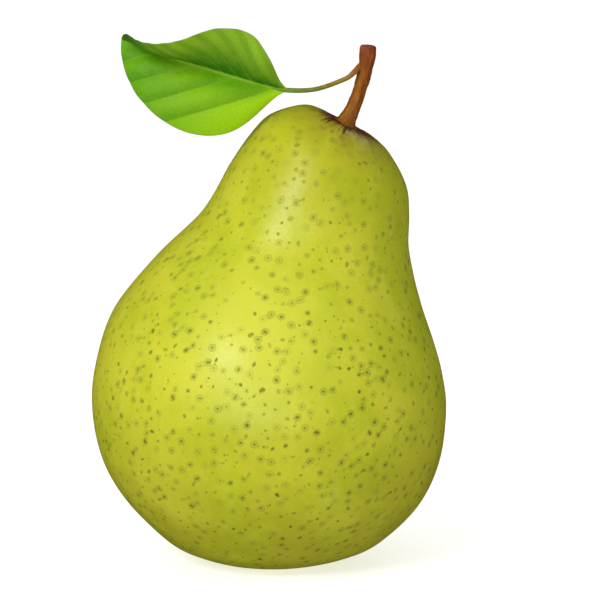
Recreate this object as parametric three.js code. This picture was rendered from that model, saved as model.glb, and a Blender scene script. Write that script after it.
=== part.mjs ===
// A pear with its stem and one leaf, resting on the small flat spot round its eye.
// Millimetres, +Z up. The origin is the middle of the flat spot, the fruit's neck leans towards +X,
// and the leaf reaches towards -X with its face towards -Y.
import * as THREE from 'three';
import { mergeVertices } from 'three/addons/utils/BufferGeometryUtils.js';

// The eye: the hollow under the fruit that holds the dried remains of the flower.
const EYE_RADIUS = 5.2;
const EYE_DEPTH = 5;
const EYE_FLOOR_RADIUS = 2.6;
const EYE_ROWS = 6;

// Level circles of the fruit, from the outer edge of the flat spot up to the stem's seat. Each leans
// towards the stem about its own middle: [middle across, middle height, radius, lean in degrees].
const FRUIT_LEVELS = [
  [0, 0, 10, 0],
  [0.4, 2, 16.9, 0],
  [0.5, 5, 22.3, 0],
  [0.4, 12.6, 29.6, 0],
  [-0.1, 21.3, 33.8, 0],
  [-0.5, 31.4, 35.3, 0.5],
  [-0.4, 39.4, 34.4, 2.7],
  [0.4, 47.5, 31.9, 5.9],
  [3, 55.5, 27.3, 10.2],
  [7, 63.5, 21.9, 17],
  [9.4, 71.3, 19.4, 25],
  [11.7, 77.8, 17.4, 27.8],
  [13.2, 82.4, 14.9, 28],
  [14.4, 86.6, 9.4, 28],
  [14.6, 87.5, 5, 28],
  [14.8, 87, 2.6, 28],
];
const FRUIT_SIDES = 48;
const ROWS_PER_LEVEL = 3;

// The stem: a woody rod that flares into its foot and swells at its cut end.
// Its line is [across, height], and its outline is [radius, distance along the line].
const STEM_LINE = [
  [14.7, 87.3],
  [16.1, 90.6],
  [17.4, 94.4],
  [18.5, 98.6],
  [19, 103.3],
];
const STEM_OUTLINE = [
  [2.2, 0.3],
  [1.8, 1.6],
  [1.42, 4],
  [1.32, 7.5],
  [1.36, 10.5],
  [1.45, 13],
  [1.5, 15],
  [1.15, 15.9],
];
const STEM_SIDES = 16;
const STEM_ROWS = 20;

// The leaf: one line runs from the stem along the petiole and on along the midrib to the tip.
const LEAF_LINE = [
  [17.4, -1.7, 98.5],
  [13.8, -2.6, 96],
  [9.8, -3.4, 94.6],
  [5.3, -4.2, 94.1],
  [1.5, -4.8, 94.6],
  [-4.6, -6, 96.2],
  [-13.1, -6.8, 98.8],
  [-21.8, -6, 101.5],
  [-28.9, -3.6, 104.3],
];
const PETIOLE_RADIUS = 0.42;
const BLADE_START = 0.33;
const BLADE_HALF_WIDTH = 13.4;
const BLADE_FULLNESS = 0.65;
const BLADE_HALF_THICKNESS = 0.35;
const LEAF_SIDES = 20;
const LEAF_ROWS = 44;

// How far each half of the blade turns forward as it leaves the midrib, in degrees, with the upper
// half's turn given at even steps from its base to its tip. Both halves roll back by the curl.
const LOWER_FOLD = 30;
const UPPER_FOLDS = [78, 60, 75, 102, 104];
const BLADE_CURL = 45;

// The dried flower in the eye, as [radius, height] lines and [half width, distance along] outlines.
const SEPAL_COUNT = 5;
const SEPAL_LINE = [
  [1.5, 4.5],
  [2.4, 3.9],
  [3.2, 2.8],
  [3.7, 1.3],
];
const SEPAL_OUTLINE = [
  [0.6, 0],
  [0.9, 1],
  [0.85, 2.2],
  [0.35, 3.9],
];
const SEPAL_FLATNESS = 0.28;
const SEPAL_SIDES = 12;
const SEPAL_ROWS = 8;
const STAMEN_TUFT_OUTLINE = [
  [0.6, 2.2],
  [0.9, 3.3],
  [0.7, 4.6],
];

const SKIN = new THREE.MeshStandardMaterial({ color: 0xb9c43a, roughness: 0.42, metalness: 0 });
const BARK = new THREE.MeshStandardMaterial({ color: 0x84481f, roughness: 0.7, metalness: 0 });
const LEAF_GREEN = new THREE.MeshStandardMaterial({ color: 0x5f9c1d, roughness: 0.45, metalness: 0 });
const DRIED_FLOWER = new THREE.MeshStandardMaterial({ color: 0x4a3320, roughness: 0.9, metalness: 0 });

/** A smooth flat curve through a list of pairs. */
function curveThrough(pairs) {
  return new THREE.SplineCurve(pairs.map(([first, second]) => new THREE.Vector2(first, second)));
}

/** Moves a point of an upright level circle to the circle's middle and lean. */
function leanTo(vertex, across, height, lean) {
  vertex.set(across + vertex.x * Math.cos(lean), vertex.y, height - vertex.x * Math.sin(lean));
}

/** Turns a geometry from +Y up to +Z up, moves each vertex with place, and closes its seams. */
function shaped(geometry, place) {
  geometry.rotateX(Math.PI / 2);
  geometry.deleteAttribute('normal');
  geometry.deleteAttribute('uv');
  const position = geometry.getAttribute('position');
  const vertex = new THREE.Vector3();
  for (let i = 0; i < position.count; i += 1) {
    place(vertex.fromBufferAttribute(position, i));
    position.setXYZ(i, vertex.x, vertex.y, vertex.z);
  }
  const closed = mergeVertices(geometry, 1e-4);
  closed.computeVertexNormals();
  return closed;
}

/** A turned solid whose outline is a list of [radius, height] pairs from bottom to top. */
function turned(outline, sides) {
  const [bottom, top] = [outline.at(0)[1], outline.at(-1)[1]];
  const profile = [[0, bottom], ...outline, [0, top]];
  return new THREE.LatheGeometry(
    profile.map(([radius, height]) => new THREE.Vector2(radius, height)),
    sides,
  );
}

/** A turned rod whose axis follows a line of [across, height]; flatness thins it across the line. */
function rodAlong(line, outline, sides, rows, flatness = 1) {
  const axis = curveThrough(line);
  const length = axis.getLength();
  const smoothOutline = curveThrough(outline).getPoints(rows).map((point) => point.toArray());
  return shaped(turned(smoothOutline, sides), (vertex) => {
    const along = THREE.MathUtils.clamp(vertex.z / length, 0, 1);
    const middle = axis.getPointAt(along);
    const heading = axis.getTangentAt(along);
    vertex.x *= flatness;
    leanTo(vertex, middle.x, middle.y, Math.atan2(heading.x, heading.y));
  });
}

/** The fruit's rows: out of the eye with a rounded lip, over the flat spot and up to the stem's seat. */
function fruitRows() {
  const rows = [{ across: 0, height: EYE_DEPTH, radius: 0, lean: 0 }];
  for (let i = 0; i <= EYE_ROWS; i += 1) {
    const out = i / EYE_ROWS;
    const radius = THREE.MathUtils.lerp(EYE_FLOOR_RADIUS, EYE_RADIUS, out);
    rows.push({ across: 0, height: (EYE_DEPTH * (1 + Math.cos(Math.PI * out))) / 2, radius, lean: 0 });
  }
  const middles = curveThrough(FRUIT_LEVELS);
  const girths = curveThrough(FRUIT_LEVELS.map(([, , radius, lean]) => [radius, lean]));
  const last = (FRUIT_LEVELS.length - 1) * ROWS_PER_LEVEL;
  for (let i = 0; i <= last; i += 1) {
    const middle = middles.getPoint(i / last);
    const girth = girths.getPoint(i / last);
    const lean = THREE.MathUtils.degToRad(girth.y);
    rows.push({ across: middle.x, height: Math.max(middle.y, 0), radius: girth.x, lean });
  }
  rows.push({ ...rows.at(-1), radius: 0 });
  return rows;
}

/** The fruit: one solid of skin and flesh, turned upright row by row and then leaned. */
function fruitGeometry() {
  const rows = fruitRows();
  const profile = rows.map(({ radius }, row) => new THREE.Vector2(radius, row));
  return shaped(new THREE.LatheGeometry(profile, FRUIT_SIDES), (vertex) => {
    const { across, height, lean } = rows[Math.round(vertex.z)];
    leanTo(vertex, across, height, lean);
  });
}

/** How far out and forward a point lies on an arc that starts at the midrib, and the arc's turn there. */
function arcPoint(arcLength, startTurn, endTurn, share) {
  const turn = THREE.MathUtils.lerp(startTurn, endTurn, share);
  const radius = arcLength / (endTurn - startTurn);
  return {
    turn,
    out: radius * (Math.sin(turn) - Math.sin(startTurn)),
    forward: radius * (Math.cos(startTurn) - Math.cos(turn)),
  };
}

/** The leaf: a closed tube round the petiole that spreads and folds into the two halves of the blade. */
function leafGeometry() {
  const line = new THREE.CatmullRomCurve3(LEAF_LINE.map((point) => new THREE.Vector3(...point)));
  const upperFolds = curveThrough(UPPER_FOLDS.map((fold) => [fold, 0]));
  const front = new THREE.Vector3(0, -1, 0);
  const tube = new THREE.CylinderGeometry(1, 1, 1, LEAF_SIDES, LEAF_ROWS);
  return shaped(tube, (vertex) => {
    const { x: side, y: face } = vertex;
    const along = vertex.z + 0.5;
    const heading = line.getTangentAt(along);
    const forward = front.clone().addScaledVector(heading, -front.dot(heading)).normalize();
    const down = forward.clone().cross(heading);

    const blade = Math.max(0, (along - BLADE_START) / (1 - BLADE_START));
    const halfWidth = BLADE_HALF_WIDTH * Math.sin(Math.PI * blade) ** BLADE_FULLNESS;
    const fold = side > 0 ? LOWER_FOLD : upperFolds.getPoint(blade).x;
    const startTurn = THREE.MathUtils.degToRad(fold);
    const endTurn = THREE.MathUtils.degToRad(fold - BLADE_CURL);
    const half = arcPoint(halfWidth, startTurn, endTurn, Math.abs(side));

    // The faces lean with the halves, and meet without a step over the midrib.
    const slant = half.turn * THREE.MathUtils.clamp(6 * side, -1, 1) * Math.sign(halfWidth);
    const petioleShare = 1 - Math.min(1, 5 * blade);
    const raised = face * THREE.MathUtils.lerp(BLADE_HALF_THICKNESS, PETIOLE_RADIUS, petioleShare);
    const round = side * PETIOLE_RADIUS * (1 - 0.7 * blade);
    vertex.copy(line.getPointAt(along));
    vertex.addScaledVector(down, round + Math.sign(side) * half.out - Math.sin(slant) * raised);
    vertex.addScaledVector(forward, half.forward + Math.cos(slant) * raised);
  });
}

/** Names a mesh and adds it to the pear. */
function add(pear, name, geometry, material) {
  const mesh = new THREE.Mesh(geometry, material);
  mesh.name = name;
  pear.add(mesh);
  return mesh;
}

const pear = new THREE.Group();
add(pear, 'fruit', fruitGeometry(), SKIN);
add(pear, 'stem', rodAlong(STEM_LINE, STEM_OUTLINE, STEM_SIDES, STEM_ROWS), BARK);
add(pear, 'leaf', leafGeometry(), LEAF_GREEN);
for (let i = 0; i < SEPAL_COUNT; i += 1) {
  const sepal = rodAlong(SEPAL_LINE, SEPAL_OUTLINE, SEPAL_SIDES, SEPAL_ROWS, SEPAL_FLATNESS);
  const mesh = add(pear, `sepal_${i + 1}`, sepal, DRIED_FLOWER);
  mesh.rotation.z = (i * 2 * Math.PI) / SEPAL_COUNT;
}
add(pear, 'dried_stamens', shaped(turned(STAMEN_TUFT_OUTLINE, SEPAL_SIDES), () => {}), DRIED_FLOWER);

export default pear;
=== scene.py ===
import math

import bmesh
import bpy
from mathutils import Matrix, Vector


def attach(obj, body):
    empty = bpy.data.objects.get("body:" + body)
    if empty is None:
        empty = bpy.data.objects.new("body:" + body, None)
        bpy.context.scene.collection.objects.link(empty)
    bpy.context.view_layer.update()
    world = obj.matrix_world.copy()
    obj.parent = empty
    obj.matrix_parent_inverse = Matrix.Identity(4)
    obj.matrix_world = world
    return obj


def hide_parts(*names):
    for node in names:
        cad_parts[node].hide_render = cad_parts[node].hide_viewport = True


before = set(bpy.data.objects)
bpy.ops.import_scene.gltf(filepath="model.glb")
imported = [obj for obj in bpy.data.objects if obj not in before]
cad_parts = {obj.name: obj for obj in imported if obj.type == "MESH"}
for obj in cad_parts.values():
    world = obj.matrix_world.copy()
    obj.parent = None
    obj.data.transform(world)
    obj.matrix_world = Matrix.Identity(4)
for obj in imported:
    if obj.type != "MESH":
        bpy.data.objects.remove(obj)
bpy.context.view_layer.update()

# ---------------------------------------------------------------------------------------------
# The fruit: one swollen body of flesh under a thin waxy skin. It grew round its core, so it is
# built as level circles from the rim of the eye underneath up to the seat of the stem, which
# lean over with the neck. Corky pores (lenticels) lie all over the skin, some with a dull ring.


class Wire:
    """A node's output, or a tree with none yet. Arithmetic on wires adds Math nodes to the tree."""

    def __init__(self, tree, socket=None):
        self.tree = tree
        self.socket = socket

    def node(self, kind, settings=None, inputs=None, output=None):
        """Adds a node: settings first, then the value or wire of each input, by name or number."""
        made = self.tree.nodes.new(kind)
        for name, value in (settings or {}).items():
            setattr(made, name, value)
        for key, value in (inputs or {}).items():
            if isinstance(key, int):
                socket = made.inputs[key]
            else:
                socket = next(s for s in made.inputs if s.enabled and s.name == key)
            if isinstance(value, Wire):
                self.tree.links.new(value.socket, socket)
            else:
                socket.default_value = value
        outputs = [s for s in made.outputs if s.enabled and output in (None, s.name)]
        return Wire(self.tree, outputs[0] if outputs else None)

    def other(self, output):
        """Another output of the same node."""
        return Wire(self.tree, self.socket.node.outputs[output])

    def math(self, operation, *values):
        return self.node("ShaderNodeMath", {"operation": operation}, dict(enumerate(values)))

    def vector(self, operation, *values, output="Vector"):
        """Vector Math on this wire and others."""
        inputs = dict(enumerate((self,) + values))
        return self.node("ShaderNodeVectorMath", {"operation": operation}, inputs, output)

    def times(self, share):
        """This vector, longer or shorter by a number or wire."""
        return self.node("ShaderNodeVectorMath", {"operation": "SCALE"}, {0: self, "Scale": share})

    def along(self, axis):
        """One component of this vector: X, Y or Z."""
        return self.node("ShaderNodeSeparateXYZ", {}, {0: self}, axis)

    def fade(self, start, end, low=0.0, high=1.0):
        """A smooth step from low to high as this value goes from start to end."""
        values = {"Value": self, "From Min": start, "From Max": end, "To Min": low, "To Max": high}
        return self.node("ShaderNodeMapRange", {"interpolation_type": "SMOOTHSTEP"}, values)

    def blend(self, low, high):
        """The colour low where this mask is 0, and high where it is 1."""
        return self.node("ShaderNodeMix", {"data_type": "RGBA"}, {"Factor": self, "A": low, "B": high})

    def kept(self, name, output="Fac"):
        """A value that the mesh keeps as a named attribute, as a material reads it."""
        return self.node("ShaderNodeAttribute", {"attribute_name": name}, {}, output)

    def xyz(self, x, y, z):
        """A vector from its three components."""
        return self.node("ShaderNodeCombineXYZ", {}, {"X": x, "Y": y, "Z": z})

    def noise(self, size, detail=2.0, roughness=0.5):
        """Noise over this vector, from about 0.25 to 0.75, with lumps of the given size."""
        values = {"Vector": self, "Scale": 1.0 / size, "Detail": detail, "Roughness": roughness}
        return self.node("ShaderNodeTexNoise", {}, values)

    def __add__(self, value):
        return self.math("ADD", self, value)

    def __radd__(self, value):
        return self.math("ADD", value, self)

    def __sub__(self, value):
        return self.math("SUBTRACT", self, value)

    def __rsub__(self, value):
        return self.math("SUBTRACT", value, self)

    def __mul__(self, value):
        return self.math("MULTIPLY", self, value)

    def __rmul__(self, value):
        return self.math("MULTIPLY", value, self)

    def __truediv__(self, value):
        return self.math("DIVIDE", self, value)

    def __rtruediv__(self, value):
        return self.math("DIVIDE", value, self)

    def __pow__(self, value):
        return self.math("POWER", self, value)


def new_tree(name, inputs):
    """An empty geometry tree that takes a Shape and the named inputs. Gives a wire for each."""
    tree = bpy.data.node_groups.new(name, "GeometryNodeTree")
    tree.interface.new_socket("Shape", in_out="OUTPUT", socket_type="NodeSocketGeometry")
    tree.interface.new_socket("Shape", in_out="INPUT", socket_type="NodeSocketGeometry")
    for label, kind in inputs.items():
        tree.interface.new_socket(label, in_out="INPUT", socket_type="NodeSocket" + kind)
    start = tree.nodes.new("NodeGroupInput")
    return {s.name: Wire(tree, s) for s in start.outputs if s.name}


def end_tree(shape, material=None):
    """Ends a tree in real mesh, with its material."""
    shape = shape.node("GeometryNodeRealizeInstances", {}, {"Geometry": shape})
    if material:
        shape = shape.node("GeometryNodeSetMaterial", {}, {"Geometry": shape, "Material": material})
    shape.node("NodeGroupOutput", {}, {0: shape})


def stored(shape, name, kind, value, domain="POINT"):
    """Keeps a value as a named attribute of the shape."""
    settings = {"data_type": kind, "domain": domain}
    return shape.node(
        "GeometryNodeStoreNamedAttribute", settings, {"Geometry": shape, "Name": name, "Value": value}
    )


def moved(shape, how, vector):
    """Moves the shape's vertices: how is Position, for where each goes, or Offset, for how far."""
    return shape.node("GeometryNodeSetPosition", {}, {"Geometry": shape, how: vector})


def named(shape, name, kind="FLOAT"):
    """Reads a named attribute."""
    return shape.node("GeometryNodeInputNamedAttribute", {"data_type": kind}, {"Name": name})


def grown(name, mesh, tree, **sizes):
    """Runs a tree on a mesh and keeps what it makes as a piece of plain mesh."""
    piece = bpy.data.objects.new(name, mesh)
    bpy.context.scene.collection.objects.link(piece)
    modifier = piece.modifiers.new(tree.name, "NODES")
    modifier.node_group = tree
    for socket in tree.interface.items_tree:
        if socket.in_out == "INPUT" and socket.name in sizes:
            modifier[socket.identifier] = sizes[socket.name]
    graph = bpy.context.evaluated_depsgraph_get()
    shape = piece.evaluated_get(graph)
    plain = bpy.data.meshes.new_from_object(shape, preserve_all_data_layers=True, depsgraph=graph)
    piece.modifiers.clear()
    piece.data = plain
    plain.name = name
    return piece


def outline_mesh(name, points, **attributes):
    """A chain of points, in millimetres, with a value of each attribute at each point."""
    mesh = bpy.data.meshes.new(name)
    chain = [(i, i + 1) for i in range(len(points) - 1)]
    mesh.from_pydata([[n / 1000 for n in p] for p in points], chain, [])
    for label, values in attributes.items():
        made = mesh.attributes.new(label, "FLOAT", "POINT")
        made.data.foreach_set("value", values)
    return mesh


# Level circles round a leaning axis: Shape is a chain of (radius, 0, height) points, with each
# circle's middle across and its lean as attributes.
level = new_tree("level_circles", {"Sides": "Int", "Rows": "Int", "Flatness": "Float"})
chain = level["Shape"]
chain = chain.node("GeometryNodeMeshToCurve", {}, {"Mesh": chain})
chain = chain.node("GeometryNodeCurveSplineType", {"spline_type": "CATMULL_ROM"}, {"Curve": chain})
chain = chain.node("GeometryNodeSetSplineResolution", {}, {"Geometry": chain, "Resolution": 24})
chain = chain.node(
    "GeometryNodeResampleCurve", {"mode": "COUNT"}, {"Curve": chain, "Count": level["Rows"]}
)
grid = chain.node(
    "GeometryNodeMeshGrid",
    {},
    {"Size X": 1.0, "Size Y": 1.0, "Vertices X": level["Sides"] + 1, "Vertices Y": level["Rows"]},
)
sheet = stored(grid, "OFBake", "FLOAT2", grid.other("UV Map"), "CORNER")
number = chain.node("GeometryNodeInputIndex")
side = (number / level["Rows"]).math("FLOOR", number / level["Rows"])
row = number - side * level["Rows"]


def at_row(kind, value):
    """The chain's value at this vertex's row."""
    settings = {"data_type": kind, "domain": "POINT"}
    inputs = {"Geometry": chain, "Value": value, "Index": row}
    return chain.node("GeometryNodeSampleIndex", settings, inputs)


place = at_row("FLOAT_VECTOR", chain.node("GeometryNodeInputPosition"))
lean = at_row("FLOAT", named(chain, "lean"))
across = at_row("FLOAT", named(chain, "across"))
turn = side * (math.tau / level["Sides"])
reach = place.along("X") * turn.math("COSINE", turn) * level["Flatness"]
spot = chain.xyz(
    across + reach * lean.math("COSINE", lean),
    place.along("X") * turn.math("SINE", turn),
    place.along("Z") - reach * lean.math("SINE", lean),
)
sheet = moved(sheet, "Position", spot)
sheet = stored(sheet, "way_along", "FLOAT", row / (level["Rows"] - 1))
sheet = stored(sheet, "way_round", "FLOAT", side / level["Sides"])
sheet = sheet.node("GeometryNodeMergeByDistance", {}, {"Geometry": sheet, "Distance": 1e-6})
sheet = sheet.node("GeometryNodeSetShadeSmooth", {}, {"Geometry": sheet})
end_tree(sheet)


def in_circles(shape, sides, rows, flatness=1.0):
    """Turns a chain of (radius, 0, height) points into a closed skin by the tree of level circles."""
    values = {"Shape": shape, "Sides": sides, "Rows": rows, "Flatness": flatness}
    return shape.node("GeometryNodeGroup", {"node_tree": level["Shape"].tree}, values)


def colour(red, green, blue):
    """A screen colour, 0 to 255, as the light it stands for."""
    screen = (red, green, blue)
    light = [((n / 255 + 0.055) / 1.055) ** 2.4 if n > 10 else n / 3295 for n in screen]
    return (*light, 1.0)


def new_material(name, **constants):
    """A material, its shader with the constants set on its own sockets, and a wire to start from."""
    material = bpy.data.materials.new(name)
    material.use_nodes = True
    shader = material.node_tree.nodes["Principled BSDF"]
    for label, value in constants.items():
        shader.inputs[label.replace("_", " ")].default_value = value
    return material, shader, Wire(material.node_tree)


def own_place(wire):
    """A point's place on the object, in millimetres."""
    return wire.node("ShaderNodeTexCoord", {}, {}, "Object").times(1000.0)


def finished(shader, wire, base, roughness, relief, depth):
    """Feeds a material's shader: its colour, its roughness and a bump, which is depth metres deep."""
    values = {"Strength": 1.0, "Distance": depth, "Height": relief}
    bump = wire.node("ShaderNodeBump", {}, values)
    for value, label in ((base, "Base Color"), (roughness, "Roughness"), (bump, "Normal")):
        wire.tree.links.new(value.socket, shader.inputs[label])


# The eye's wall from its floor out to its rim, and the level circles from there up, in
# millimetres and degrees: (middle across, height, radius, lean).
EYE_RADIUS = 5.2
EYE_DEPTH = 5.0
EYE_FLOOR_RADIUS = 2.6
EYE_ROWS = 6
SEAT_ACROSS = 14.8
SEAT_HEIGHT = 87
NECK_LEAN = 28
FRUIT_LEVELS = [
    (0, 0, 10, 0),
    (0.4, 2, 16.9, 0),
    (0.5, 5, 22.3, 0),
    (0.4, 12.6, 29.6, 0),
    (-0.1, 21.3, 33.8, 0),
    (-0.5, 31.4, 35.3, 0.5),
    (-0.4, 39.4, 34.4, 2.7),
    (0.4, 47.5, 31.9, 5.9),
    (3, 55.5, 27.3, 10.2),
    (7, 63.5, 21.9, 17),
    (9.4, 71.3, 19.4, 25),
    (11.7, 77.8, 17.4, 27.8),
    (13.2, 82.4, 14.9, NECK_LEAN),
    (14.4, 86.6, 9.4, NECK_LEAN),
    (14.6, 87.5, 5, NECK_LEAN),
    (SEAT_ACROSS, SEAT_HEIGHT, 2.6, NECK_LEAN),
    (SEAT_ACROSS, SEAT_HEIGHT, 0, NECK_LEAN),
]
SEAT = Vector((SEAT_ACROSS, 0, SEAT_HEIGHT))
SEAT_LEAN = math.radians(NECK_LEAN)

levels = [(0, EYE_DEPTH, 0, 0)]
for i in range(EYE_ROWS + 1):
    out = i / EYE_ROWS
    radius = EYE_FLOOR_RADIUS + (EYE_RADIUS - EYE_FLOOR_RADIUS) * out
    levels.append((0, EYE_DEPTH * (1 + math.cos(math.pi * out)) / 2, radius, 0))
levels += FRUIT_LEVELS
fruit_outline = outline_mesh(
    "fruit_outline",
    [(radius, 0, height) for _, height, radius, _ in levels],
    across=[across / 1000 for across, _, _, _ in levels],
    lean=[math.radians(lean) for _, _, _, lean in levels],
)

# The skin's colour: green-yellow, warmer in clouds, palest on the front of the belly where
# light is painted in, with fine upright flecks, dull rings and corky middles at the pores, and
# brown russet in streaks round the stem and in the eye, with painted shadow below the stem.
skin_material, shader, skin = new_material("pear_skin", Specular_IOR_Level=0.44, IOR=1.45)
skin_place = own_place(skin)
height = skin_place.along("Z")
clouds = skin_place.noise(16.0, 3.0, 0.55)
upright = skin_place.vector("MULTIPLY", (1.0, 1.0, 0.22)).noise(3.2, 3.0, 0.6)
grain = skin_place.noise(0.7, 2.0, 0.6)
base = clouds.fade(0.36, 0.66).blend(colour(192, 202, 26), colour(216, 216, 48))
base = (upright.fade(0.45, 0.72) * 0.35).blend(base, colour(216, 222, 74))
base = (grain.fade(0.35, 0.7) * 0.12).blend(base, colour(150, 160, 20))
# Painted light: a pale pool of light on the front of the belly.
PAINTED_LIGHT_MIDDLE = (-3.0, -34.0, 51.0)
painted_light = skin_place.vector("DISTANCE", PAINTED_LIGHT_MIDDLE, output="Value").fade(26.0, 5.0)
base = (painted_light * 0.55).blend(base, colour(234, 234, 74))
low_down = height.fade(46.0, 6.0) * skin_place.noise(9.0, 3.0).fade(0.3, 0.6, 0.4, 1.0)
base = (low_down * 0.6).blend(base, colour(172, 164, 20))

pore = skin.kept("pore", "Vector")
pore_reach = skin.kept("pore_reach")
pore_ring = skin.kept("pore_ring")
pore_tone = skin.kept("pore_tone")
ragged = skin_place.noise(0.8, 2.0, 0.5) - 0.5
ring_reach = pore_reach + ragged * 0.4
ring = (ring_reach - pore_ring).fade(0.07, -0.07) * pore_reach.fade(0.92, 0.8)
core_reach = pore.vector("LENGTH", output="Value") + ragged * 0.4
core = core_reach.fade(0.52, 0.16) * pore_reach.fade(0.72, 0.5)
rim = ring * (ring_reach - pore_ring).fade(-0.3, -0.02)
base = (ring * pore_tone.fade(0.0, 1.0, 0.12, 0.36)).blend(base, colour(142, 150, 34))
base = (rim * 0.12).blend(base, colour(116, 124, 24))
brown = pore_tone.fade(0.4, 1.0) * height.fade(55.0, 18.0, 0.35, 1.0)
core_colour = brown.blend(colour(120, 132, 0), colour(124, 84, 4))
core_share = pore_tone.fade(0.0, 1.0, 0.4, 0.85) * height.fade(72.0, 42.0, 0.7, 1.0)
base = (core * core_share).blend(base, core_colour)
specks = skin.node("ShaderNodeTexVoronoi", {}, {"Vector": skin_place, "Scale": 0.62})
faint = specks.fade(0.19, 0.09) * specks.other("Color").along("X").fade(0.4, 0.6)
base = (faint * 0.5).blend(base, colour(128, 134, 12))

# Round the stem: the place as seen down the seat's own axis.
from_seat = skin.node(
    "ShaderNodeMapping",
    {"vector_type": "TEXTURE"},
    {"Vector": skin_place, "Location": SEAT, "Rotation": (0, SEAT_LEAN, 0)},
)
flat = from_seat.vector("MULTIPLY", (1.0, 0.7, 0.0))
seat_reach = flat.vector("LENGTH", output="Value")
bearing = flat.vector("NORMALIZE")
near_seat = from_seat.along("Z").fade(-14.0, -10.0)
streaks = bearing.times(4.2).vector("ADD", flat.times(0.05)).noise(0.55, 3.0, 0.65)
streak_end = 4.5 + streaks.fade(0.4, 0.7) * 3.4
russet = (seat_reach - streak_end).fade(0.5, -0.9) * near_seat
dull = seat_reach.fade(24.0, 7.0) * from_seat.along("Z").fade(-26.0, -12.0)
base = (dull * 0.45).blend(base, colour(158, 158, 12))
# Partly russet and partly painted shadow: a brown wash round the stem's foot, with a darker band close
# under it.
russet_and_painted_shadow = seat_reach.fade(13.0, 4.0) * flat.noise(4.5, 2.0).fade(0.28, 0.5) * near_seat
base = (russet_and_painted_shadow * 0.72).blend(base, colour(142, 112, 6))
base = (seat_reach.fade(8.5, 3.8) * near_seat * 0.6).blend(base, colour(116, 72, 8))
flecks = skin_place.noise(1.3, 1.0).fade(0.66, 0.7) * seat_reach.fade(13.0, 6.0) * near_seat
base = (flecks * 0.6).blend(base, colour(150, 118, 40))
base = (russet * 0.94).blend(base, colour(98, 36, 6))

# In the eye: the wall turns corky towards the dried flower.
eye_reach = skin_place.vector("MULTIPLY", (1.0, 1.0, 0.0)).vector("LENGTH", output="Value")
eye_edge = eye_reach + (skin_place.noise(1.1, 3.0) - 0.5) * 3.0
eye = eye_edge.fade(6.2, 4.2) * height.fade(8.0, 6.0)
base = (eye * 0.8).blend(base, colour(104, 84, 38))

relief = grain * 0.35 - core * 0.5 - rim * 0.12 + russet * streaks * 1.4 + eye * streaks
roughness = 0.3 + grain * 0.1 + ring * 0.08 + core * 0.25 + russet * 0.3 + eye * 0.25
finished(shader, skin, base, roughness, relief, 0.00009)

# The body by level circles, the gentle unevenness of a grown thing, the puckers that pull in to
# the stem, and the pores scattered over the skin. As in every tree here, sizes are in metres.
fruit_tree = new_tree(
    "pear_fruit",
    {
        "Sides": "Int",
        "Rows": "Int",
        "Unevenness": "Float",
        "Pucker": "Float",
        "Pore Spacing": "Float",
        "Pore Density": "Float",
    },
)
body = in_circles(fruit_tree["Shape"], fruit_tree["Sides"], fruit_tree["Rows"])
spot = body.node("GeometryNodeInputPosition")
# The smooth line dips under the flat spot between its levels, and the fruit rests on the ground.
LOWEST = (-1.0, -1.0, 0.0)
body = moved(body, "Position", spot.vector("MAXIMUM", LOWEST))
facing = body.node("GeometryNodeInputNormal")
above = spot.along("Z").fade(0.001, 0.012)
swell = (spot.noise(0.022, 1.5) - 0.5) * 2.0 * fruit_tree["Unevenness"] * above
seat_frame = spot.vector("SUBTRACT", tuple(SEAT / 1000))
tilt = body.node(
    "ShaderNodeVectorRotate",
    {"rotation_type": "Y_AXIS"},
    {"Vector": seat_frame, "Angle": -SEAT_LEAN},
)
flat = tilt.vector("MULTIPLY", (1.0, 1.0, 0.0))
seat_reach = flat.vector("LENGTH", output="Value")
folds = flat.vector("NORMALIZE").noise(0.42, 1.0) - 0.5
pucker_zone = seat_reach.fade(0.014, 0.003) * tilt.along("Z").fade(-0.012, -0.006)
pucker = folds * fruit_tree["Pucker"] * pucker_zone
body = moved(body, "Offset", facing.times(swell + pucker))
crowding = spot.along("Z").fade(0.085, 0.02, 0.8, 1.0) * spot.along("Z").fade(-0.001, 0.0015)
pores = body.node(
    "GeometryNodeDistributePointsOnFaces",
    {"distribute_method": "POISSON"},
    {
        "Mesh": body,
        "Distance Min": fruit_tree["Pore Spacing"],
        "Density Max": fruit_tree["Pore Density"],
        "Density Factor": crowding,
        "Seed": 11,
    },
)
nearest = pores.node("GeometryNodeSampleNearest", {"domain": "POINT"}, {"Geometry": pores})


def at_pore(kind, value):
    """The value at the pore nearest to this vertex."""
    settings = {"data_type": kind, "domain": "POINT"}
    inputs = {"Geometry": pores, "Value": value, "Index": nearest}
    return pores.node("GeometryNodeSampleIndex", settings, inputs)


def chance(low, high, seed):
    """A random number for each pore."""
    return pores.node("FunctionNodeRandomValue", {}, {"Min": low, "Max": high, "Seed": seed})


offset = spot.vector("SUBTRACT", at_pore("FLOAT_VECTOR", spot)).times(1000.0)
direction = pores.node(
    "FunctionNodeRandomValue",
    {"data_type": "FLOAT_VECTOR"},
    {"Min": (-1.0, -1.0, -1.0), "Max": (1.0, 1.0, 1.0), "Seed": 5},
).vector("NORMALIZE")
direction = at_pore("FLOAT_VECTOR", direction)
stretch = at_pore("FLOAT", chance(0.05, 0.72, 6))
lengthwise = direction.times(offset.vector("DOT_PRODUCT", direction, output="Value") * stretch)
core_size = at_pore("FLOAT", chance(0.0, 1.0, 7) ** 1.6 * 0.5 + 0.46)
pore = offset.vector("SUBTRACT", lengthwise).times(1.0 / core_size)
ring_size = chance(0.0, 1.0, 8).fade(0.05, 0.7, 0.3, 0.88)
body = stored(body, "pore", "FLOAT_VECTOR", pore)
body = stored(body, "pore_reach", "FLOAT", offset.vector("LENGTH", output="Value"))
body = stored(body, "pore_ring", "FLOAT", at_pore("FLOAT", ring_size))
body = stored(body, "pore_tone", "FLOAT", at_pore("FLOAT", chance(0.0, 1.0, 9)))
end_tree(body, skin_material)

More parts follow.
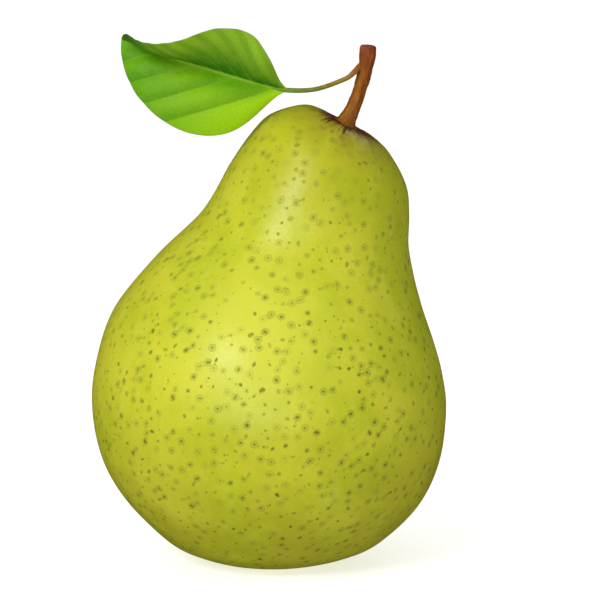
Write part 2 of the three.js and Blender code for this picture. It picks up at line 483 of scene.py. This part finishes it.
fruit = grown(
    "pear_fruit",
    fruit_outline,
    fruit_tree["Shape"].tree,
    **{
        "Sides": 340,
        "Rows": 256,
        "Unevenness": 0.00045,
        "Pucker": 0.0011,
        "Pore Spacing": 0.0016,
        "Pore Density": 300000.0,
    },
)
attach(fruit, "root")
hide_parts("fruit")

# ---------------------------------------------------------------------------------------------
# The stem: the woody stalk that the fruit hung by. Its ribbed bark flares into a foot on the
# skin, and its upper end is a knob where it was cut or broke off the twig at a slant.

# Its line is (across, height), and its outline is (radius, distance along the line).
STEM_LINE = [(14.4, 87.35), (16.1, 90.6), (17.4, 94.4), (18.5, 98.6), (19, 103.3)]
STEM_OUTLINE = [
    (0, -0.5),
    (2.3, -0.5),
    (2.0, 0.2),
    (1.7, 1.4),
    (1.5, 3.2),
    (1.36, 5.4),
    (1.31, 7.6),
    (1.36, 10.4),
    (1.42, 12.4),
    (1.58, 13.8),
    (1.64, 14.9),
    (1.52, 15.7),
    (1.1, 16.2),
    (0, 16.2),
]


def through(points, share):
    """The place a share of the way along a smooth line through points, and its heading there."""
    pace = min(max(share, 0.0), 1.0) * (len(points) - 1)
    i = min(int(pace), len(points) - 2)
    t = pace - i
    a, b, c, d = (Vector(points[min(max(k, 0), len(points) - 1)]) for k in range(i - 1, i + 3))
    bend, twist = 2 * a - 5 * b + 4 * c - d, 3 * (b - c) + d - a
    place = b + (c - a) * (t / 2) + bend * (t * t / 2) + twist * (t**3 / 2)
    heading = (c - a) / 2 + bend * t + twist * (t * t * 1.5)
    return place, heading.normalized()


def outline_along(name, line, outline):
    """The chain for level circles whose middles follow a line, which runs on straight at its ends."""
    steps = [through(line, i / 100)[0] for i in range(101)]
    length = sum((after - before).length for before, after in zip(steps, steps[1:]))
    points, middles, leans = [], [], []
    for radius, distance in outline:
        middle, heading = through(line, distance / length)
        middle += heading * (distance - min(max(distance, 0), length))
        points.append((radius, 0, middle.y))
        middles.append(middle.x / 1000)
        leans.append(math.atan2(heading.x, heading.y))
    return outline_mesh(name, points, across=middles, lean=leans)


stem_outline = outline_along("stem_outline", STEM_LINE, STEM_OUTLINE)

# Bark: reddish brown, olive at the foot and redder at the knob, with paler ribs along it and a
# painted highlight, a lighter strip, up its front.
bark_material, shader, bark = new_material("stem_bark", Specular_IOR_Level=0.16)
bark_place = own_place(bark)
way = bark.kept("way_along")
rib = bark.kept("rib")
cut = bark.kept("cut")
round_way = bark.kept("way_round")
fibre = bark_place.vector("MULTIPLY", (1.0, 1.0, 0.16)).noise(0.34, 3.0, 0.65)
blotch = bark_place.noise(1.9, 3.0, 0.6)
wood = way.fade(0.02, 0.42).blend(colour(128, 84, 0), colour(150, 80, 8))
wood = way.fade(0.72, 0.9).blend(wood, colour(146, 70, 30))
wood = (blotch.fade(0.42, 0.66) * 0.35).blend(wood, colour(112, 54, 22))
wood = (rib.fade(0.45, 0.75) * 0.45).blend(wood, colour(190, 130, 56))
# Painted highlight: a lighter strip up the stem's front, on the side turned to the lamp, broken up by
# the blotches.
HIGHLIGHT_STRIP_ROUND = 0.67
off_strip = bark.math("ABSOLUTE", round_way - HIGHLIGHT_STRIP_ROUND)
painted_highlight_strip = off_strip.fade(0.11, 0.01) * way.fade(0.8, 0.5) * blotch.fade(0.3, 0.5, 0.5, 1.0)
wood = (painted_highlight_strip * 0.4).blend(wood, colour(186, 126, 28))
wood = (fibre.fade(0.56, 0.4) * 0.38).blend(wood, colour(92, 42, 14))
wood = (cut * 0.7).blend(wood, colour(150, 98, 66))
bark_relief = fibre * 0.5 + blotch * 0.4
roughness = 0.36 + fibre * 0.2
finished(shader, bark, wood, roughness, bark_relief, 0.00012)

stem_tree = new_tree(
    "pear_stem",
    {
        "Sides": "Int",
        "Rows": "Int",
        "Rib Height": "Float",
        "Knot Height": "Float",
        "Root Height": "Float",
        "Cut Across": "Float",
        "Cut Height": "Float",
        "Cut Slope": "Float",
        "Cut Rounding": "Float",
    },
)
rod = in_circles(stem_tree["Shape"], stem_tree["Sides"], stem_tree["Rows"])
way = named(rod, "way_along")
angle = named(rod, "way_round") * math.tau
round_place = rod.xyz(angle.math("COSINE", angle), angle.math("SINE", angle), way * 2.2)
ribs = round_place.noise(0.55, 2.0, 0.55)
knots = rod.node("GeometryNodeInputPosition").noise(0.0021, 2.0, 0.6) - 0.5
roots = way.fade(0.28, 0.1) * (round_place.noise(0.5, 1.0) - 0.42) * stem_tree["Root Height"]
rise = (ribs - 0.5) * stem_tree["Rib Height"] + knots * stem_tree["Knot Height"] + roots
rod = moved(rod, "Offset", rod.node("GeometryNodeInputNormal").times(rise))
rod = stored(rod, "rib", "FLOAT", ribs)
spot = rod.node("GeometryNodeInputPosition")
off_middle = spot.along("X") - stem_tree["Cut Across"]
cut_plane = stem_tree["Cut Height"] - off_middle * stem_tree["Cut Slope"]
rod = stored(rod, "cut", "FLOAT", (spot.along("Z") - cut_plane).fade(-0.0001, 0.0003))
lowered = spot.math("SMOOTH_MIN", spot.along("Z"), cut_plane, stem_tree["Cut Rounding"])
rod = moved(rod, "Position", rod.xyz(spot.along("X"), spot.along("Y"), lowered))
end_tree(rod, bark_material)
stem = grown(
    "pear_stem",
    stem_outline,
    stem_tree["Shape"].tree,
    **{
        "Sides": 96,
        "Rows": 200,
        "Rib Height": 0.00055,
        "Knot Height": 0.0004,
        "Root Height": 0.0009,
        "Cut Across": 0.0192,
        "Cut Height": 0.1031,
        "Cut Slope": 0.12,
        "Cut Rounding": 0.0014,
    },
)
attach(stem, "root")
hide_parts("stem")

# ---------------------------------------------------------------------------------------------
# The leaf's blade: a thin sheet in two halves that fold forward from the midrib and roll back
# towards the margin. It is pleated between its side veins, which stand out on its back.

# One line, in millimetres, runs from the stem along the stalk and on along the midrib to the tip.
LEAF_LINE = [
    (17.4, -1.7, 98.5),
    (13.8, -2.6, 96),
    (9.8, -3.4, 94.6),
    (5.3, -4.2, 94.1),
    (1.5, -4.8, 94.6),
    (-4.6, -6, 96.2),
    (-13.1, -6.8, 98.8),
    (-21.8, -6, 101.5),
    (-29.2, -3.6, 104.1),
]
LEAF_STEPS = 400

# The blade starts at this share of the line. It is narrower towards its base by a share that
# wears off over the base's reach.
BLADE_START = 0.29
BLADE_HALF_WIDTH = 13.25
BLADE_FULLNESS = 0.65
BASE_NARROWING = 0.93
BASE_REACH = 0.155
BLADE_THICKNESS = 0.26
BLADE_ROWS = 220
BLADE_COLUMNS = 64

# How far each half turns forward as it leaves the midrib, in degrees, with the upper half's given
# at even steps from its base to its tip. Both roll back by the curl, and the crease rounds the
# fold over this many millimetres on each side.
LOWER_FOLD = 30
UPPER_FOLDS = (50, 68, 62, 72, 95, 104, 90)
BLADE_CURL = 45
CREASE = 0.7

# Each half's side veins: the share of the blade where the first leaves the midrib, the gap from
# one to the next, and their angle to the midrib. The panel before the lower half's first vein is
# drawn out, and a pleat has its full depth where the gap is a full one.
LOWER_VEINS = (0.1, 0.225, math.radians(34))
UPPER_VEINS = (-0.02, 0.085, math.radians(54))
FIRST_PANEL = 0.6
PLEAT_DEPTH = 0.5
FULL_GAP = 0.23
VEIN_WIDTH = 0.22
VEIN_RISE = 0.14
VEIN_SINK = 0.04

leaf_steps = [through(LEAF_LINE, i / LEAF_STEPS)[0] for i in range(LEAF_STEPS + 1)]
leaf_ways = [0.0]
for before, after in zip(leaf_steps, leaf_steps[1:]):
    leaf_ways.append(leaf_ways[-1] + (after - before).length)
blade_length = leaf_ways[-1] * (1 - BLADE_START)


def on_leaf_line(share):
    """The place a share of the leaf line's length along it, with its heading and front there."""
    way = share * leaf_ways[-1]
    i = max(k for k in range(LEAF_STEPS) if leaf_ways[k] <= way + 1e-9)
    between = (way - leaf_ways[i]) / (leaf_ways[i + 1] - leaf_ways[i])
    place = leaf_steps[i].lerp(leaf_steps[i + 1], between)
    heading = (leaf_steps[min(i + 4, LEAF_STEPS)] - leaf_steps[max(i - 3, 0)]).normalized()
    front = Vector((0, -1, 0))
    return place, heading, (front - heading * front.dot(heading)).normalized()


def smooth_step(value, start, end):
    """From 0 to 1, smoothly, as value goes from start to end."""
    t = min(max((value - start) / (end - start), 0.0), 1.0)
    return t * t * (3 - 2 * t)


def blade_row(blade):
    """Front and back points across the blade at a share of its length, and each one's facts."""
    middle, heading, forward = on_leaf_line(BLADE_START + (1 - BLADE_START) * blade)
    down = forward.cross(heading)
    half = BLADE_HALF_WIDTH * max(math.sin(math.pi * blade), 0.0) ** BLADE_FULLNESS
    half *= 1 - BASE_NARROWING * math.exp(-((blade / BASE_REACH) ** 2))
    upper_fold = through([(fold, 0) for fold in UPPER_FOLDS], blade)[0].x
    shares = [k / BLADE_COLUMNS for k in range(-BLADE_COLUMNS, BLADE_COLUMNS + 1)]
    turns = []
    for share in shares:
        upper = -math.radians(upper_fold - BLADE_CURL * abs(share))
        lower = math.radians(LOWER_FOLD - BLADE_CURL * abs(share))
        mix = smooth_step(share * half, -CREASE, CREASE)
        turns.append(upper + (lower - upper) * mix)
    walked = [Vector((0.0, 0.0))]
    for k in range(1, len(shares)):
        turn = (turns[k - 1] + turns[k]) / 2
        walked.append(walked[-1] + Vector((math.cos(turn), math.sin(turn))) * (half / BLADE_COLUMNS))
    start = walked[BLADE_COLUMNS]
    fronts, backs, facts = [], [], []
    for share, turn, step in zip(shares, turns, walked):
        way = abs(share) * half
        first, gap, angle = LOWER_VEINS if share > 0 else UPPER_VEINS
        rank = (blade - way / math.tan(angle) / blade_length - first) / gap
        rank = rank if rank > 0 or share < 0 else rank * gap / FIRST_PANEL
        off_vein = abs(rank - round(rank)) * gap * blade_length * math.sin(angle)
        reach = smooth_step(way, 0.3, 3.0) * (1 - 0.6 * share**2) * smooth_step(blade, 1.02, 0.8)
        wave = abs(math.sin(math.pi * rank)) if share > 0 else math.sin(math.pi * rank) ** 2
        pleat = PLEAT_DEPTH * (gap / FULL_GAP) * wave * reach
        vein = math.exp(-((off_vein / VEIN_WIDTH) ** 2)) * smooth_step(way, 0.0, 0.4)
        vein *= 1 - 0.8 * abs(share)
        normal = forward * math.cos(turn) - down * math.sin(turn)
        place = middle + down * (step.x - start.x) + forward * (step.y - start.y) + normal * pleat
        thickness = BLADE_THICKNESS * (1 - 0.7 * share**8)
        fronts.append(place + normal * (thickness / 2 - vein * VEIN_SINK))
        backs.append(place - normal * (thickness / 2 + vein * VEIN_RISE))
        facts.append((blade, share, vein, rank - math.floor(rank) if share > 0 else wave))
    return fronts, backs, facts


blade_rows = [blade_row(i / BLADE_ROWS) for i in range(BLADE_ROWS + 1)]
width = 2 * BLADE_COLUMNS + 1
count = width * len(blade_rows)
points = [p / 1000 for fronts, _, _ in blade_rows for p in fronts]
points += [p / 1000 for _, backs, _ in blade_rows for p in backs]
facts = [fact for _, _, row_facts in blade_rows for fact in row_facts] * 2
faces = []
for i in range(BLADE_ROWS):
    for k in range(width - 1):
        a, b = i * width + k, (i + 1) * width + k
        faces.append((a, a + 1, b + 1, b))
        faces.append((count + a, count + b, count + b + 1, count + a + 1))
    a, b = i * width, (i + 1) * width
    faces.append((a, b, count + b, count + a))
    a, b = a + width - 1, b + width - 1
    faces.append((a, count + a, count + b, b))
blade_mesh = bpy.data.meshes.new("leaf_blade")
blade_mesh.from_pydata(points, [], faces)
for label, place in (("blade_way", 0), ("blade_out", 1), ("vein", 2), ("panel", 3)):
    made = blade_mesh.attributes.new(label, "FLOAT", "POINT")
    made.data.foreach_set("value", [fact[place] for fact in facts])
made = blade_mesh.attributes.new("back", "FLOAT", "POINT")
made.data.foreach_set("value", [0.0] * count + [1.0] * count)
shell = bmesh.new()
shell.from_mesh(blade_mesh)
bmesh.ops.remove_doubles(shell, verts=shell.verts, dist=1e-6)
bmesh.ops.dissolve_degenerate(shell, edges=shell.edges, dist=1e-7)
bmesh.ops.recalc_face_normals(shell, faces=shell.faces)
for face in shell.faces:
    face.smooth = True
shell.to_mesh(blade_mesh)
shell.free()

# The blade's green: lime below the midrib, with painted shade in a darker hollow beside it;
# deeper above it and towards the tip, where shade in the fold is painted in; paler veins, and a
# dull paler back with a fine net of veins.
green_material, shader, green = new_material("leaf_green", Specular_IOR_Level=0.12)
leaf_place = own_place(green)
way = green.kept("blade_way")
out = green.kept("blade_out")
vein = green.kept("vein")
panel = green.kept("panel")
back = green.kept("back")
lower = out.fade(-0.02, 0.02)
edge = out.math("ABSOLUTE", out)
lime = way.fade(0.1, 0.9).blend(colour(168, 219, 8), colour(96, 166, 12))
# Painted shade: the upper half is darkest beside the midrib, where its fold turns away from the light,
# and darker again towards the tip.
deep = edge.fade(0.1, 0.95).blend(colour(44, 124, 16), colour(150, 198, 42))
deep = way.fade(0.6, 0.95).blend(deep, colour(40, 118, 22))
# Painted shade in the hollow beside the midrib, towards the blade's base.
hollow = way.fade(0.62, 0.4) * way.fade(0.05, 0.2) * edge.fade(0.55, 0.08)
lime = (hollow * 0.8).blend(lime, colour(84, 160, 14))
blade_green = lower.blend(deep, lime)
shade = panel.fade(0.75, 0.0) * edge.fade(0.02, 0.3) * lower.fade(0.0, 1.0, 0.3, 0.42)
blade_green = shade.blend(blade_green, colour(48, 120, 16))
net = green.node(
    "ShaderNodeTexVoronoi",
    {"feature": "DISTANCE_TO_EDGE"},
    {"Vector": leaf_place, "Scale": 1.1},
)
mesh_veins = net.fade(0.11, 0.02)
cells = leaf_place.noise(2.4, 3.0, 0.6)
blade_green = (cells.fade(0.4, 0.65) * 0.14).blend(blade_green, colour(160, 196, 50))
blade_green = (mesh_veins * 0.1).blend(blade_green, colour(170, 205, 80))
midrib = edge.fade(0.045, 0.008)
blade_green = (midrib * 0.85 + vein * 0.3).blend(blade_green, colour(146, 196, 48))
blade_green = (edge.fade(0.985, 0.999) * 0.35).blend(blade_green, colour(60, 110, 30))
under = (vein * 0.5 + mesh_veins * 0.25).blend(colour(126, 160, 84), colour(168, 188, 116))
blade_green = back.blend(blade_green, under)
leaf_relief = mesh_veins * (back * 1.6 - 0.8) + cells * 0.5
roughness = 0.36 + back * 0.28 + cells * 0.1
finished(shader, green, blade_green, roughness, leaf_relief, 0.00004)
blade_mesh.materials.append(green_material)
blade = bpy.data.objects.new("leaf_blade", blade_mesh)
bpy.context.scene.collection.objects.link(blade)
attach(blade, "root")
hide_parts("leaf")

# ---------------------------------------------------------------------------------------------
# The leaf's stalk: a thin fibrous rod from its swollen joint on the stem to the blade, where it
# runs on as the midrib, sunk in the front and raised on the back, and thins out to the tip.

# Each pair is a share of the leaf's line and the radius there. The joint's own two points stand
# inside the stem.
STALK = [
    (-0.03, 0.95),
    (0.0, 0.72),
    (0.035, 0.55),
    (0.08, 0.47),
    (0.2, 0.45),
    (0.31, 0.48),
    (0.4, 0.4),
    (0.55, 0.33),
    (0.7, 0.25),
    (0.85, 0.17),
    (0.97, 0.09),
]
JOINT = {-0.03: Vector((18.9, 0.0, 99.8)), 0.0: Vector((17.2, -0.25, 98.4))}

stalk_points = []
for share, radius in STALK:
    place, heading, forward = on_leaf_line(max(share, 0.0))
    place = JOINT.get(share, place)
    sunk = smooth_step(share, BLADE_START, BLADE_START + 0.1)
    lower = forward.cross(heading)
    stalk_points.append(place - (forward - lower * 0.5) * (sunk * (radius + 0.02)))
stalk_line = outline_mesh(
    "stalk_line",
    stalk_points,
    thickness=[radius / 1000 for _, radius in STALK],
    share=[share for share, _ in STALK],
)

stalk_material, shader, stalk = new_material("leaf_stalk", Specular_IOR_Level=0.25)
share = stalk.kept("share")
stalk_place = own_place(stalk)
fibre = stalk_place.vector("MULTIPLY", (0.22, 1.0, 1.0)).noise(0.3, 3.0, 0.6)
tint = share.fade(0.0, 0.1).blend(colour(160, 90, 38), colour(160, 122, 40))
tint = share.fade(0.06, 0.24).blend(tint, colour(118, 126, 30))
tint = share.fade(0.2, 0.36).blend(tint, colour(112, 160, 36))
tint = (fibre.fade(0.5, 0.65) * 0.35).blend(tint, colour(170, 160, 70))
tint = (fibre.fade(0.5, 0.35) * 0.35).blend(tint, colour(92, 84, 22))
roughness = 0.42 + fibre * 0.2
finished(shader, stalk, tint, roughness, fibre, 0.00006)

# A rod along a line of points, as thick at each as its attribute says.
stalk_tree = new_tree("rod_on_a_line", {"Sides": "Int", "Rows": "Int", "Material": "Material"})
line = stalk_tree["Shape"]
line = line.node("GeometryNodeMeshToCurve", {}, {"Mesh": line})
line = line.node("GeometryNodeCurveSplineType", {"spline_type": "CATMULL_ROM"}, {"Curve": line})
line = line.node(
    "GeometryNodeResampleCurve", {"mode": "COUNT"}, {"Curve": line, "Count": stalk_tree["Rows"]}
)
ring = line.node(
    "GeometryNodeCurvePrimitiveCircle",
    {"mode": "RADIUS"},
    {"Resolution": stalk_tree["Sides"], "Radius": 1.0},
)
line = line.node(
    "GeometryNodeCurveToMesh",
    {},
    {"Curve": line, "Profile Curve": ring, "Scale": named(line, "thickness"), "Fill Caps": True},
)
line = line.node("GeometryNodeSetShadeSmooth", {}, {"Geometry": line})
end_tree(line, stalk_tree["Material"])
stalk_piece = grown(
    "leaf_stalk", stalk_line, stalk_tree["Shape"].tree, Sides=20, Rows=160, Material=stalk_material
)
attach(stalk_piece, "root")
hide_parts("leaf")

# ---------------------------------------------------------------------------------------------
# The dried flower in the eye: five shrivelled sepals that spread down towards the rim, woolly
# with short hairs. They stay on the fruit from the blossom, and are brown-black and brittle.

# A sepal's line is (radius, height), and its outline is (half width, distance along the line).
SEPAL_COUNT = 5
SEPAL_LINE = [(1.5, 4.7), (2.4, 4.0), (3.2, 2.8), (3.75, 1.1)]
SEPAL_OUTLINE = [
    (0, 0),
    (0.7, 0),
    (1.1, 0.9),
    (1.05, 1.9),
    (0.7, 3),
    (0.3, 3.9),
    (0.08, 4.3),
    (0, 4.35),
]
sepal_outline = outline_along("sepal_outline", SEPAL_LINE, SEPAL_OUTLINE)

dried_material, shader, dried = new_material("dried_flower", Specular_IOR_Level=0.25)
dried_place = own_place(dried)
creases = dried_place.noise(0.5, 3.0, 0.65)
dust = dried_place.noise(0.16, 2.0, 0.6)
husk = creases.fade(0.38, 0.64).blend(colour(46, 30, 18), colour(104, 78, 48))
husk = (dust.fade(0.56, 0.68) * 0.6).blend(husk, colour(150, 126, 88))
roughness = 0.75 + dust * 0.2
finished(shader, dried, husk, roughness, creases + dust, 0.00014)

sepal_tree = new_tree(
    "dried_sepals",
    {
        "Count": "Int",
        "Flatness": "Float",
        "Wrinkle": "Float",
        "Hair Length": "Float",
        "Hair Density": "Float",
    },
)
lobe = in_circles(sepal_tree["Shape"], 28, 40, sepal_tree["Flatness"])
lobe = lobe.node("GeometryNodeRemoveAttribute", {}, {"Geometry": lobe, "Name": "OFBake"})
stations = lobe.node("GeometryNodePoints", {}, {"Count": sepal_tree["Count"]})
number = lobe.node("GeometryNodeInputIndex")
askew = lobe.node("FunctionNodeRandomValue", {}, {"Min": -0.16, "Max": 0.16, "Seed": 21})
heading = lobe.xyz(askew, 0.0, number * (math.tau / sepal_tree["Count"]) + askew)
size = lobe.node("FunctionNodeRandomValue", {}, {"Min": 0.86, "Max": 1.0, "Seed": 22})
lobes = lobe.node(
    "GeometryNodeInstanceOnPoints",
    {},
    {
        "Points": stations,
        "Instance": lobe,
        "Rotation": heading.node("FunctionNodeEulerToRotation", {}, {"Euler": heading}),
        "Scale": lobe.xyz(size, size, 1.0),
    },
)
lobes = lobes.node("GeometryNodeRealizeInstances", {}, {"Geometry": lobes})
wrinkle = (lobes.node("GeometryNodeInputPosition").noise(0.0009, 2.0) - 0.5) * sepal_tree["Wrinkle"]
lobes = moved(lobes, "Offset", lobes.node("GeometryNodeInputNormal").times(wrinkle))
wool = lobes.node(
    "GeometryNodeDistributePointsOnFaces",
    {"distribute_method": "RANDOM"},
    {"Mesh": lobes, "Density": sepal_tree["Hair Density"], "Seed": 4},
)
hair = lobes.node(
    "GeometryNodeMeshCone",
    {"fill_type": "NGON"},
    {
        "Vertices": 4,
        "Radius Top": 0.000006,
        "Radius Bottom": 0.00003,
        "Depth": sepal_tree["Hair Length"],
    },
)
leaning = lobes.node(
    "FunctionNodeRandomValue",
    {"data_type": "FLOAT_VECTOR"},
    {"Min": (-0.8, -0.8, -0.8), "Max": (0.8, 0.8, 0.8)},
)
upright = wool.other("Normal").vector("ADD", leaning)
hairs = lobes.node(
    "GeometryNodeInstanceOnPoints",
    {},
    {
        "Points": wool,
        "Instance": hair,
        "Rotation": lobes.node("FunctionNodeAlignRotationToVector", {"axis": "Z"}, {"Vector": upright}),
    },
)
joined = lobes.node("GeometryNodeJoinGeometry", {}, {"Geometry": lobes})
joined.tree.links.new(hairs.socket, joined.socket.node.inputs["Geometry"])
end_tree(joined, dried_material)
sepals = grown(
    "dried_sepals",
    sepal_outline,
    sepal_tree["Shape"].tree,
    **{
        "Count": SEPAL_COUNT,
        "Flatness": 0.26,
        "Wrinkle": 0.0005,
        "Hair Length": 0.0005,
        "Hair Density": 6000000.0,
    },
)
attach(sepals, "root")
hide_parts(*[f"sepal_{i + 1}" for i in range(SEPAL_COUNT)])

# ---------------------------------------------------------------------------------------------
# The dried stamens: a tuft of brittle threads in the middle of the sepals, each with the dry
# knob of its anther at the end.

# One thread hangs from the eye's floor: (across, height, radius) at each point.
THREAD = [
    (0, 0.1, 0.08),
    (0.05, -0.7, 0.07),
    (0.14, -1.5, 0.06),
    (0.2, -1.9, 0.08),
    (0.26, -2.1, 0.17),
    (0.34, -2.4, 0.19),
    (0.4, -2.6, 0.06),
]
thread_line = outline_mesh(
    "thread_line",
    [(across, 0, height) for across, height, _ in THREAD],
    thickness=[thickness / 1000 for _, _, thickness in THREAD],
)
tuft_tree = new_tree(
    "dried_stamens", {"Count": "Int", "Spread": "Float", "Splay": "Float", "Root Height": "Float"}
)
thread = tuft_tree["Shape"].node(
    "GeometryNodeGroup",
    {"node_tree": stalk_tree["Shape"].tree},
    {"Shape": tuft_tree["Shape"], "Sides": 6, "Rows": 12},
)
roots = thread.node("GeometryNodePoints", {}, {"Count": tuft_tree["Count"]})
number = thread.node("GeometryNodeInputIndex")
# Each thread stands a golden turn round from the last, so that they spread evenly.
GOLDEN_TURN = 2.39996
angle = number * GOLDEN_TURN
out = tuft_tree["Spread"] * ((number + 0.5) / tuft_tree["Count"]) ** 0.5
root = thread.xyz(
    out * angle.math("COSINE", angle), out * angle.math("SINE", angle), tuft_tree["Root Height"]
)
roots = moved(roots, "Position", root)
splay = (out / tuft_tree["Spread"]) * tuft_tree["Splay"]
turned = thread.xyz(0.0, 0.0 - splay, angle)
long = thread.node("FunctionNodeRandomValue", {}, {"Min": 0.7, "Max": 1.05, "Seed": 31})
tuft = thread.node(
    "GeometryNodeInstanceOnPoints",
    {},
    {
        "Points": roots,
        "Instance": thread,
        "Rotation": turned.node("FunctionNodeEulerToRotation", {}, {"Euler": turned}),
        "Scale": thread.xyz(long, long, long),
    },
)
end_tree(tuft, dried_material)
stamens = grown(
    "dried_stamens_tuft",
    thread_line,
    tuft_tree["Shape"].tree,
    **{"Count": 18, "Spread": 0.0007, "Splay": 0.32, "Root Height": 0.0049},
)
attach(stamens, "root")
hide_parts("dried_stamens")

# ---------------------------------------------------------------------------------------------
# The studio: a pale floor that glows a little, with pale walls round it. A large soft lamp stands
# high in front on the left, a wide one lies low in front, and a small one is high behind on the
# right. All sizes and places here are in metres.

pale = new_material(
    "studio_floor",
    Base_Color=(0.93, 0.93, 0.93, 1),
    Emission_Color=(1, 1, 1, 1),
    Emission_Strength=0.6,
    Roughness=0.9,
)[0]
floor_mesh = bpy.data.meshes.new("studio_floor")
floor_mesh.from_pydata([(-9, -9, 0), (9, -9, 0), (9, 9, 0), (-9, 9, 0)], [], [(0, 1, 2, 3)])
floor_mesh.materials.append(pale)
floor = bpy.data.objects.new("studio_floor", floor_mesh)
bpy.context.scene.collection.objects.link(floor)
floor.visible_diffuse = False
floor.visible_glossy = False

# The walls cast no light or shade on the pear.
wall_mesh = bpy.data.meshes.new("studio_wall")
corners = [(-3, -3), (3, -3), (3, 3), (-3, 3)]
wall_points = [(x, y, height) for height in (0, 4) for x, y in corners]
walls = [(k, k + 4, (k + 1) % 4 + 4, (k + 1) % 4) for k in range(4)]
wall_mesh.from_pydata(wall_points, [], walls)
wall_mesh.materials.append(pale)
wall = bpy.data.objects.new("studio_wall", wall_mesh)
bpy.context.scene.collection.objects.link(wall)
wall.visible_diffuse = False
wall.visible_glossy = False
wall.visible_shadow = False


def aimed(name, data, place, target):
    """Stands a lamp or camera at a place and points it at a target."""
    stand = bpy.data.objects.new(name, data)
    stand.location = place
    stand.rotation_euler = (Vector(target) - Vector(place)).to_track_quat("-Z", "Y").to_euler()
    bpy.context.scene.collection.objects.link(stand)
    return stand


def soft_lamp(name, place, width, height, power):
    """A rectangular lamp that looks at the middle of the pear. Its power is in watts."""
    lamp = bpy.data.lights.new(name, "AREA")
    lamp.shape = "RECTANGLE"
    lamp.size = width
    lamp.size_y = height
    lamp.energy = power
    return aimed(name, lamp, place, (0.005, 0, 0.05))


soft_lamp("key_lamp", (-0.52, -0.9, 0.66), 0.36, 0.44, 5.9)
soft_lamp("low_lamp", (-0.1, -1.1, 0.12), 0.9, 0.2, 2.7)
soft_lamp("edge_lamp", (0.6, 0.75, 0.8), 0.15, 0.3, 0.5)
world = bpy.data.worlds.new("studio_air")
bpy.context.scene.world = world
world.use_nodes = True
world.node_tree.nodes["Background"].inputs["Color"].default_value = (1, 1, 1, 1)
world.node_tree.nodes["Background"].inputs["Strength"].default_value = 0.49
world.cycles_visibility.glossy = False
bpy.context.scene.view_settings.view_transform = "Standard"

TARGET = Vector((0.00555, 0, 0.0523))
CAMERA_DISTANCE = 0.6
CAMERA_RISE = math.radians(8)
lens = bpy.data.cameras.new("camera")
lens.sensor_width = 36
lens.lens = 181.5
from_target = Vector((0, -math.cos(CAMERA_RISE), math.sin(CAMERA_RISE)))
camera = aimed("camera", lens, TARGET + CAMERA_DISTANCE * from_target, TARGET)
bpy.context.scene.camera = camera
